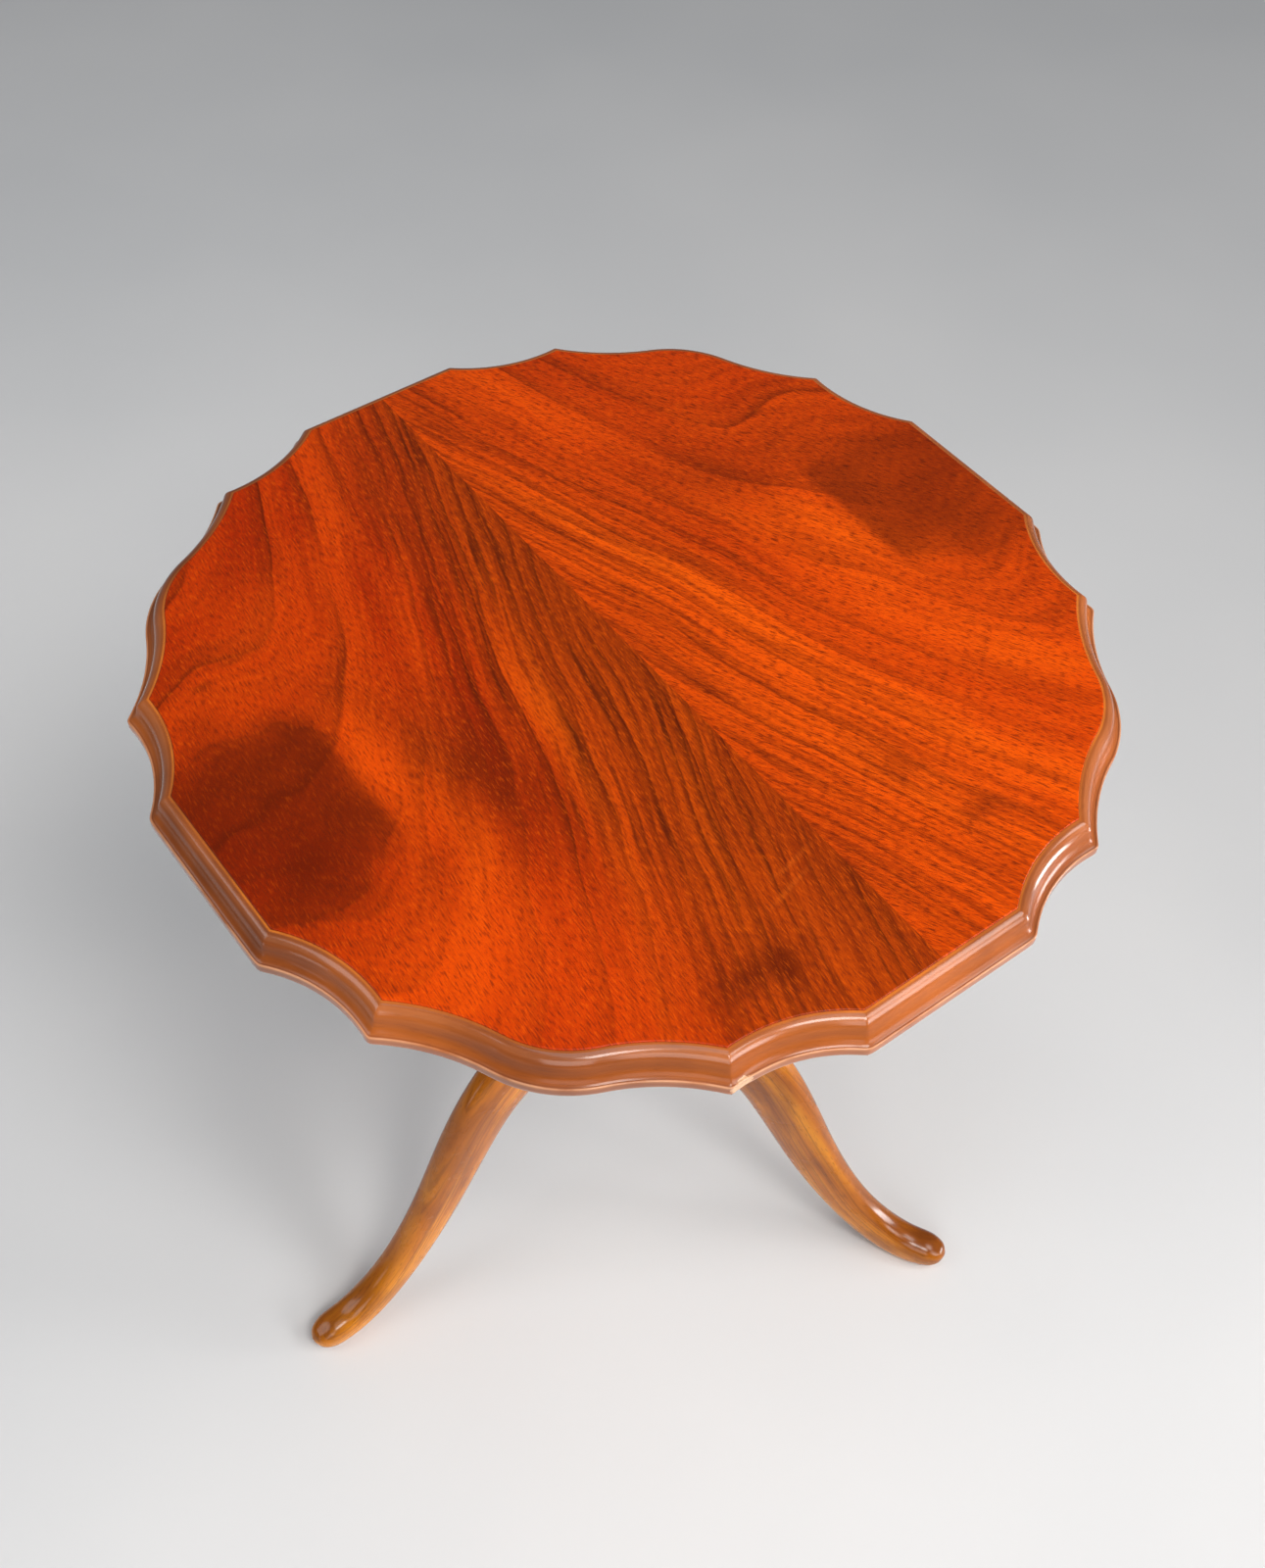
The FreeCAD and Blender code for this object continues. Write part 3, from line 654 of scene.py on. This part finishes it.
class FlameVeneer(Finish):
    """Book-matched veneer: combed lines fan out from the seam and bend round a dark eye on each side.

    seam_x and seam_y run across and along the seam as shares of the lobes' reach, and off_seam is the
    distance from it. left and right are 1 on that leaf. across and along run across and along the grain."""

    def __init__(self):
        super().__init__("flame_veneer")
        share = 1 / (LOBE_REACH * MM)
        self.seam_x, self.seam_y = self.parts(self.laid(SEAM_TURN, (share, share, 0.0)))[:2]
        self.off_seam = self.math("ABSOLUTE", self.seam_x)
        self.right = self.math("GREATER_THAN", self.seam_x, 0.0)
        self.left = self.math("SUBTRACT", 1.0, self.right)
        self.twin = self.vector(self.off_seam, self.seam_y, (self.right, 0.06))
        self.quick = self.scaled(self.noise(self.twin, 7.0, 1.0), 0.014, -0.007)
        self.across = self.grain_place()
        self.along = self.scaled(self.off_seam, -0.8, self.seam_y)
        self.dense = self.times(self.step(self.across, 0.47, 0.30), self.step(self.off_seam, 0.54, 0.26))
        self.band = self.noise(self.stretched(7.5, 0.8, 0.0), 1.0, 3.0, 0.55)

    def grain_place(self):
        """Place across the grain: lines fan out from the back end of the seam, level out towards the rim and
        open into a lens round the eye, with slow and quick waves."""
        outwards = self.math("SMOOTH_MIN", self.times(self.off_seam, 0.82), 0.47, 0.30)
        lens = self.bell(self.off_seam, self.seam_y, (0.80, -0.05), (0.17, 0.55))
        drift = self.times(self.scaled(self.seam_y, 0.27, 0.0135), self.scaled(lens, -0.55, 1.0))
        slow = self.scaled(self.noise(self.twin, 1.9, 1.0), 0.05, -0.025)
        return self.math("ADD", self.math("ADD", outwards, drift), self.math("ADD", slow, self.quick))

    def stretched(self, wide, long, seed):
        """Places for a noise that is stretched along the grain, with other values on each leaf."""
        return self.vector((self.across, wide), (self.along, long), self.scaled(self.right, 0.25, seed))

    def streaks(self, wide, long, seed, low, high, detail=2.0):
        """Stretched noise along the grain, as a smooth step between two levels."""
        return self.step(self.noise(self.stretched(wide, long, seed), 1.0, detail, 0.55), low, high)

    def growth(self, count, wander, seed, stops):
        """Lines across the grain with uneven gaps, each sharp on one side and fading on the other."""
        uneven = self.noise(self.stretched(4.5, 0.8, seed), 1.0, 2.0)
        turn = self.math("FRACT", self.scaled(self.across, count, self.times(uneven, wander)))
        return self.levels(turn, stops)

    def patches(self, spots):
        """Sum of soft humps at places across and along the seam."""
        total = 0.0
        for across_seam, along_seam, wide, long, level in spots:
            hump = self.bell(self.seam_x, self.seam_y, (across_seam, along_seam), (wide, long))
            total = self.scaled(hump, level, total)
        return total

    def ground(self):
        """Slow bands of lighter and darker wood. The left leaf is redder and darker towards its outside and
        brown beside the seam, where the right one is golden. This difference between the leaves is painted
        shade
        and light: the two leaves of a book-match take the light differently."""
        self.colour = self.ramp(self.band, ((0.28, linear(138, 28, 1)), (0.44, linear(174, 46, 1)),
                                            (0.58, linear(202, 64, 2)), (0.74, linear(220, 82, 3))))
        # Painted shade: the left leaf darker, most away from the seam
        outside = self.times(self.step(self.off_seam, 0.22, 0.52), self.left)
        self.tint(self.times(outside, 0.32), linear(132, 22, 0))
        beside = self.step(self.scaled(self.seam_y, 0.20, self.off_seam), 0.44, 0.08)
        # Painted shade: the left leaf browner and darker beside the seam
        self.tint(self.times(beside, self.left, 0.66), linear(146, 58, 3))
        # Painted light: the right leaf brighter and golden, most beside the seam
        self.tint(self.times(self.right, self.scaled(beside, 0.24, 0.14)), linear(228, 88, 3))

    def combed_lines(self):
        """Combed lines in the half beside the seam, some strong and some faint, with broken dark streaks
        among them, and fine streaks everywhere."""
        stops = ((0.0, 0.0), (0.10, 1.0), (0.30, 0.55), (0.62, 0.08), (0.85, 0.0))
        comb = self.growth(38.0, 4.2, 9.0, stops)
        strong = self.streaks(16.0, 1.4, 5.0, 0.36, 0.60)
        weight = self.times(self.dense, self.scaled(self.left, 0.30, 0.42))
        self.tint(self.times(comb, strong, weight), linear(62, 22, 2))
        fine = self.streaks(115.0, 2.4, 3.0, 0.56, 0.36)
        self.tint(self.times(fine, self.scaled(self.dense, 0.20, 0.24)), linear(98, 24, 2))
        close = self.streaks(48.0, 2.0, 7.0, 0.44, 0.28)
        weight = self.times(self.dense, self.scaled(self.left, 0.30, 0.40))
        self.tint(self.times(close, weight), linear(56, 17, 3))

    def long_lines(self):
        """Long growth lines in the open wood, fainter below the eye and at the front."""
        stops = ((0.0, 0.0), (0.03, 1.0), (0.09, 0.55), (0.34, 0.10), (0.6, 0.0))
        line = self.growth(13.0, 1.6, 0.0, stops)
        uneven = self.streaks(6.0, 1.2, 0.0, 0.36, 0.60, 1.0)
        strength = self.times(uneven, self.scaled(self.left, 0.20, 0.62))
        below_eye = self.bell(self.off_seam, self.seam_y, (0.82, -0.25), (0.30, 0.45))
        front = self.step(self.seam_y, -0.40, -0.75)
        calm = self.times(self.scaled(below_eye, -0.8, 1.0), self.scaled(front, -0.5, 1.0))
        self.tint(self.times(line, calm, strength), linear(66, 17, 2))

    def eyes(self):
        """Dark eyes with a ragged outline, a straight inner side and rings that follow the outline. The left
        one is darker and sharper. Gives how dark they are."""
        hollow = self.bell(self.off_seam, self.seam_y, EYE_MIDDLE, EYE_SPREAD)
        mottle = self.noise(self.twin, 5.0, 3.0)
        ragged = self.scaled(mottle, 0.5, self.scaled(self.band, 0.2, hollow))
        low = self.scaled(self.left, 0.07, 0.55)
        high = self.scaled(self.left, -0.10, 1.08)
        outline = self.step(ragged, low, high)
        core = self.times(outline, self.step(self.off_seam, *EYE_SIDE))
        shade = self.times(core, self.scaled(mottle, 0.7, 0.40), self.scaled(self.left, 0.04, 0.88))
        eye_shade = self.math("MINIMUM", shade, 0.90)
        self.tint(eye_shade, self.mix(self.right, linear(74, 17, 1), linear(98, 30, 2)))
        turn = self.math("FRACT", self.scaled(hollow, 2.8, self.times(mottle, 1.3)))
        ring = self.levels(turn, ((0.0, 0.0), (0.05, 1.0), (0.14, 0.45), (0.5, 0.0)))
        rim = self.times(self.step(hollow, 0.10, 0.26), self.step(hollow, 0.66, 0.46))
        self.tint(self.times(ring, self.scaled(self.left, 0.16, 0.24), rim), linear(62, 16, 2))
        return eye_shade

    def clouds(self):
        """Darker clouds torn along the grain, a knot's smudge and small dark marks, then brighter places."""
        dark = self.math("MINIMUM", self.patches(VENEER_CLOUDS), 0.9)
        torn = self.scaled(self.noise(self.stretched(30.0, 5.0, 0.0), 1.0, 2.0), 0.9, 0.40)
        self.tint(self.times(dark, torn), linear(84, 22, 2))
        bright = self.patches(VENEER_GLOWS)
        self.tint(self.times(bright, self.scaled(self.band, 0.8, 0.1)), linear(226, 76, 2))

    def pale_marks(self):
        """Two thin pale marks across the grain near the front end of the seam."""
        mark_at = self.scaled(self.seam_x, -0.16, self.scaled(self.quick, 3.0, self.seam_y))
        stripe = self.math("ADD", self.bell(mark_at, self.seam_x, (-0.625, -0.09), (0.007, 0.045)),
                           self.bell(mark_at, self.seam_x, (-0.665, -0.13), (0.007, 0.055)))
        self.tint(self.times(stripe, 0.25), linear(214, 96, 20))

    def pores(self, eye_shade):
        """Short dashes in one direction, dark ones and light ones, and larger flecks, most on the right.
        Gives how much of a dark pore shows."""
        slant = self.scaled(self.seam_y, self.scaled(self.right, 0.48, 0.08), self.off_seam)
        grain = self.noise(self.vector((slant, 330.0), (self.along, 42.0), self.right), 1.0, 1.0)
        pore = self.step(grain, 0.50, 0.30)
        self.tint(self.times(pore, self.scaled(self.right, 0.10, 0.56)), linear(92, 24, 2))
        light = self.times(self.step(grain, 0.54, 0.74), self.scaled(eye_shade, -0.24, 0.28))
        self.tint(light, linear(232, 96, 6))
        fleck_at = self.vector((slant, 170.0), (self.along, 22.0), self.math("ADD", self.right, 5.0))
        fleck = self.step(self.noise(fleck_at, 1.0, 1.0), 0.42, 0.28)
        self.tint(self.times(fleck, self.scaled(self.right, 0.36, 0.20)), linear(80, 22, 2))
        return pore


def flame_veneer():
    """The veneer's figure from its ground up to the pores, with a soft lacquer."""
    f = FlameVeneer()
    f.ground()
    f.combed_lines()
    f.long_lines()
    eye_shade = f.eyes()
    f.clouds()
    f.pale_marks()
    pore = f.pores(eye_shade)
    f.bump(f.scaled(pore, -1.0, f.times(f.band, 0.3)), 0.08, 0.0002)
    roughness = f.scaled(f.noise(f.place, 35.0, 3.0), 0.12, f.scaled(pore, 0.08, 0.20))
    return f.finish(roughness, Specular_IOR_Level=0.15)


# Drops over which the moulding's lacquer dulls below the shoulder and clears again above the bead
DULL_BELOW = (3.5, 5.8)
DULL_ABOVE = (13.0, 11.5)


def stained_edge():
    """Moulded edge: smooth brown stain, a golden arris line that is partly a painted highlight, a pale bead
    with wear and a painted highlight, and painted shade in the corners.

    The lacquer is duller on the face, between the shoulder and the bead."""
    f = Finish("stained_edge")
    run, gold, pale = f.attribute("edge_marks")
    chip, corner_shade_and_dullness = f.attribute("edge_chip_and_corner_shade")[:2]
    height = f.parts(f.place)[2]
    streak = f.noise(f.vector((run, 26.0), (height, 300.0), 0.0), 1.0, 3.0, 0.55)
    cloud = f.noise(f.place, 14.0, 3.0)
    tone = f.scaled(cloud, 0.8, f.times(streak, 0.2))
    f.colour = f.ramp(tone, ((0.34, linear(110, 53, 19)), (0.50, linear(143, 73, 27)),
                             (0.66, linear(167, 88, 34))))
    dash = f.step(f.noise(f.vector((run, 150.0), (height, 1300.0), 4.0), 1.0, 1.0), 0.44, 0.28)
    f.tint(f.times(dash, 0.16), linear(96, 44, 18))
    # Pale bead: wear, and a painted highlight along the bead's top, the rounded rim under it and faintly the
    # shoulder
    rub = f.times(pale, f.step(f.noise(f.place, 40.0, 3.0), 0.20, 0.60))
    f.tint(f.times(rub, 0.55), linear(222, 168, 130))
    # Partly painted highlight: a golden line along the eased arris, broken up by noise
    arris_line_and_highlight = f.times(gold, f.scaled(f.noise(f.place, 120.0, 3.0), 1.0, 0.25))
    kept_gold = f.scaled(f.step(f.noise(f.place, 11.0, 2.0), 0.40, 0.60), 0.55, 0.20)
    f.tint(f.times(arris_line_and_highlight, kept_gold), linear(224, 126, 36))
    # Painted shade: darker in the moulding's corners and quirks
    f.tint(f.times(corner_shade_and_dullness, 0.34), linear(70, 32, 16))
    crumb = f.noise(f.place, 520.0, 3.0, 0.6)
    raw = f.step(f.scaled(crumb, 0.9, chip), 0.80, 0.92)
    f.tint(raw, f.mix(crumb, linear(150, 92, 56), linear(236, 196, 158)))
    gloss = f.scaled(cloud, 0.16, 0.30)
    roughness = f.scaled(raw, 0.5, f.scaled(corner_shade_and_dullness, 0.18, gloss))
    waves = f.scaled(streak, 0.3, f.noise(f.place, 60.0, 3.0))
    f.bump(f.math("ADD", waves, f.times(raw, crumb, 3.0)), 0.07, 0.0004)
    shoulder, face_top = [(TABLE_HEIGHT - drop) * MM for drop in DULL_BELOW]
    bead, face_bottom = [(TABLE_HEIGHT - drop) * MM for drop in DULL_ABOVE]
    face = f.times(f.step(height, shoulder, face_top), f.step(height, bead, face_bottom))
    coat = f.scaled(face, -0.65, 0.95)
    return f.finish(roughness, Specular_IOR_Level=0.1, Coat_Weight=coat, Coat_Roughness=0.16)


def plank_wood(name, dark, middle, light, line, gloss):
    """Wood sawn from a plank: soft dark clouds, streaks along its grain, pores and a polished sheen.

    Ridge marks, where a piece has them, darken it as handling does."""
    f = Finish(name)
    along, across, depth = f.attribute("plank_grain")
    bend = f.noise(f.vector((along, 8.0), (across, 14.0), (depth, 14.0)), 1.0, 2.0)
    level = f.scaled(bend, 0.010, f.scaled(across, 0.55, depth))
    band = f.noise(f.vector((along, 6.0), (level, 85.0), (across, 22.0)), 1.0, 4.0, 0.6)
    f.colour = f.ramp(band, ((0.32, dark), (0.47, middle), (0.64, light)))
    streak = f.noise(f.vector((along, 8.0), (level, 560.0), (across, 150.0)), 1.0, 2.0)
    f.tint(f.times(f.step(streak, 0.48, 0.32), 0.42), line)
    cloud = f.noise(f.vector((along, 16.0), (level, 34.0), 2.0), 1.0, 2.0)
    f.tint(f.times(f.step(cloud, 0.50, 0.30), 0.60), dark)
    ridge, share = f.attribute("ridge_marks")[:2]
    handled = f.times(ridge, f.scaled(f.step(share, 0.55, 0.95), 0.35, 0.45))
    patina = f.times(handled, f.scaled(cloud, 1.0, 0.35))
    f.tint(f.math("MINIMUM", patina, 0.85), f.mix(0.5, dark, line))
    pore_at = f.vector((along, 170.0), (across, 1500.0), (depth, 1500.0))
    pore = f.step(f.noise(pore_at, 1.0, 1.0), 0.42, 0.27)
    f.tint(f.times(pore, 0.45), line)
    rub = f.noise(f.place, 26.0, 4.0, 0.6)
    f.bump(f.scaled(pore, -0.8, f.times(rub, 0.5)), 0.10, 0.0003)
    roughness = f.scaled(rub, 0.22, gloss)
    return f.finish(roughness, Specular_IOR_Level=0.1, Coat_Weight=0.6, Coat_Roughness=0.16)


def plain_wood(name, dark, light, pattern_turn, gloss):
    """Plain secondary wood: straight streaks along X. The pattern's turn gives each wood other streaks."""
    f = Finish(name)
    streak = f.noise(f.laid(pattern_turn, (9.0, 130.0, 130.0)), 1.0, 4.0, 0.62, 0.2)
    fine = f.noise(f.laid(pattern_turn, (90.0, 1500.0, 900.0)), 1.0, 2.0)
    f.colour = f.ramp(streak, ((0.32, dark), (0.68, light)))
    f.tint(f.times(f.step(fine, 0.42, 0.28), 0.5), dark)
    stain = f.noise(f.place, 11.0, 4.0)
    f.tint(f.times(f.step(stain, 0.52, 0.72), 0.4), dark)
    f.bump(fine, 0.15, 0.0004)
    return f.finish(f.scaled(stain, 0.25, gloss), Specular_IOR_Level=0.4)


def old_metal(name, base, stained, gloss):
    """Worn metal: fine scratches in one direction, with patches of tarnish that are darker and duller."""
    f = Finish(name)
    scratch = f.noise(f.laid(0.0, (2500.0, 120.0, 400.0)), 1.0, 3.0)
    tarnish = f.step(f.noise(f.place, 90.0, 5.0, 0.62), 0.44, 0.66)
    f.colour = f.mix(f.times(scratch, 0.4), base, stained)
    f.tint(tarnish, stained)
    f.bump(scratch, 0.12, 0.0002)
    roughness = f.math("ADD", f.scaled(scratch, 0.15, gloss), f.times(tarnish, 0.2))
    return f.finish(roughness, Metallic=1.0)


def pale_floor():
    """Plain pale studio floor with a faint cloudiness."""
    f = Finish("pale_floor")
    cloud = f.noise(f.place, 1.6, 3.0)
    f.colour = f.ramp(cloud, ((0.35, linear(205, 206, 208)), (0.65, linear(214, 214, 215))))
    f.bump(f.noise(f.place, 260.0, 2.0), 0.03, 0.0005)
    return f.finish(0.75, Specular_IOR_Level=0.2)


# The table


veneer = flame_veneer()
edge_wood = stained_edge()
leg_wood = plank_wood("golden_leg_wood", linear(122, 60, 7), linear(187, 104, 10), linear(220, 137, 18),
                      linear(82, 39, 7), 0.16)
under_wood = plain_wood("stained_under_wood", linear(92, 56, 34), linear(138, 92, 58), SEAM_TURN, 0.45)
dowel_wood = plain_wood("raw_dowel_wood", linear(190, 150, 106), linear(222, 188, 144), 0.0, 0.55)
plate_steel = old_metal("dull_plate_steel", linear(150, 150, 152), linear(84, 78, 72), 0.32)
screw_brass = old_metal("aged_screw_brass", linear(206, 170, 96), linear(128, 96, 50), 0.28)

moulded_top(edge_wood)
veneer_leaf("veneer_left", SEAM_COLUMN, "veneer_leaf_left", veneer)
veneer_leaf("veneer_right", SEAM_COLUMN + HALF_COLUMNS, "veneer_leaf_right", veneer)
for number, (leg_name, leg_angle) in enumerate(LEG_ANGLES.items()):
    swept_leg(leg_name, leg_angle, LEG_PLANK_STEP * number, leg_wood)
turned_column(leg_wood)
round_block(under_wood)

cad_finishes = {"backing_veneer": under_wood, "leg_dowels": dowel_wood, "tripod_plate": plate_steel,
                "block_screws": screw_brass, "plate_screws": screw_brass}
for node, finish in cad_finishes.items():
    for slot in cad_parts[node].material_slots:
        slot.material = finish

# Floor, light and camera

FLOOR_HALF = 7.0
floor_corners = np.array(((-1, -1, 0), (1, -1, 0), (1, 1, 0), (-1, 1, 0))) * FLOOR_HALF
floor_mesh = bpy.data.meshes.new("floor")
floor_mesh.from_pydata(floor_corners.tolist(), [], [(0, 1, 2, 3)])
floor_mesh.materials.append(pale_floor())
floor = bpy.data.objects.new("floor", floor_mesh)
bpy.context.scene.collection.objects.link(floor)


def facing(place, target):
    """Turn that points an object's -Z from its place to a target, with its X level."""
    back = np.subtract(place, target)
    back = back / np.linalg.norm(back)
    side = np.cross((0, 0, 1), back)
    side = side / np.linalg.norm(side)
    return Matrix(np.stack((side, np.cross(back, side), back), 1).tolist()).to_4x4()


def soft_lamp(name, place, target, size, power, colour, spread=180.0):
    """Square area lamp that faces a target and isn't seen itself. Its light leaves within spread degrees."""
    lamp = bpy.data.lights.new(name, "AREA")
    lamp.shape = "SQUARE"
    lamp.size = size
    lamp.energy = power
    lamp.color = colour
    lamp.spread = math.radians(spread)
    holder = bpy.data.objects.new(name, lamp)
    holder.matrix_world = Matrix.Translation(place) @ facing(place, target)
    holder.visible_camera = False
    bpy.context.scene.collection.objects.link(holder)


soft_lamp("key_lamp", (0.75, -1.0, 2.2), (0, 0, 0.40), 0.75, 26.0, (1.0, 0.97, 0.93))
soft_lamp("side_lamp", (1.45, -0.05, 1.95), (0, 0, 0.40), 0.9, 16.0, (1.0, 0.98, 0.95))
# A narrow lamp low on the right, for the moulding's sheen there
soft_lamp("window_lamp", (1.59, -0.81, 1.12), (0.12, -0.12, 0.46), 0.85, 1.5, (1.0, 0.99, 0.97), 50.0)
soft_lamp("top_lamp", (0.15, -0.2, 2.6), (0, 0, 0.3), 1.0, 7.0, (1.0, 0.98, 0.95))
soft_lamp("fill_lamp", (-1.5, -0.6, 1.9), (0, 0, 0.3), 1.2, 12.0, (0.95, 0.98, 1.0))
soft_lamp("front_lamp", (0.3, -2.1, 1.3), (0, 0, 0.15), 1.2, 13.5, (1.0, 0.97, 0.93))
# Two small lamps lower than the top, so that they light the legs and not the top's face
soft_lamp("left_leg_lamp", (-0.82, -0.95, 0.30), (-0.14, -0.15, 0.14), 0.3, 0.5, (1.0, 0.98, 0.95))
soft_lamp("right_leg_lamp", (1.25, 0.10, 0.26), (0.18, -0.04, 0.34), 0.4, 1.8, (1.0, 0.98, 0.97), 70.0)

WORLD_COLOUR = (0.86, 0.92, 1.0, 1.0)
WORLD_STRENGTH = 0.16
world = bpy.data.worlds.new("studio")
world.use_nodes = True
world.node_tree.nodes["Background"].inputs["Color"].default_value = WORLD_COLOUR
world.node_tree.nodes["Background"].inputs["Strength"].default_value = WORLD_STRENGTH
bpy.context.scene.world = world

# Camera found from the photograph's scalloped edge: place in millimetres, view direction and roll
EYE = np.array((66.4, -582.1, TABLE_HEIGHT + 621.6)) * MM
VIEW = np.array((-0.06626, 0.62625, -0.77681))
SIDE_TURN = math.radians(6.04)
ROLL = math.radians(2.70)
LENS = 42.75
SENSOR = 36.0
level = np.array((math.cos(SIDE_TURN), math.sin(SIDE_TURN), 0))
rise = np.cross(level, VIEW)
camera_x = math.cos(ROLL) * level + math.sin(ROLL) * rise
camera_y = math.cos(ROLL) * rise - math.sin(ROLL) * level
camera_turn = Matrix(np.stack((camera_x, camera_y, -VIEW), 1).tolist()).to_4x4()
camera = bpy.data.cameras.new("camera")
camera.lens = LENS
camera.sensor_fit = "VERTICAL"
camera.sensor_height = SENSOR
viewer = bpy.data.objects.new("camera", camera)
viewer.matrix_world = Matrix.Translation(EYE.tolist()) @ camera_turn
bpy.context.scene.collection.objects.link(viewer)
bpy.context.scene.camera = viewer
bpy.context.scene.view_settings.view_transform = "Standard"
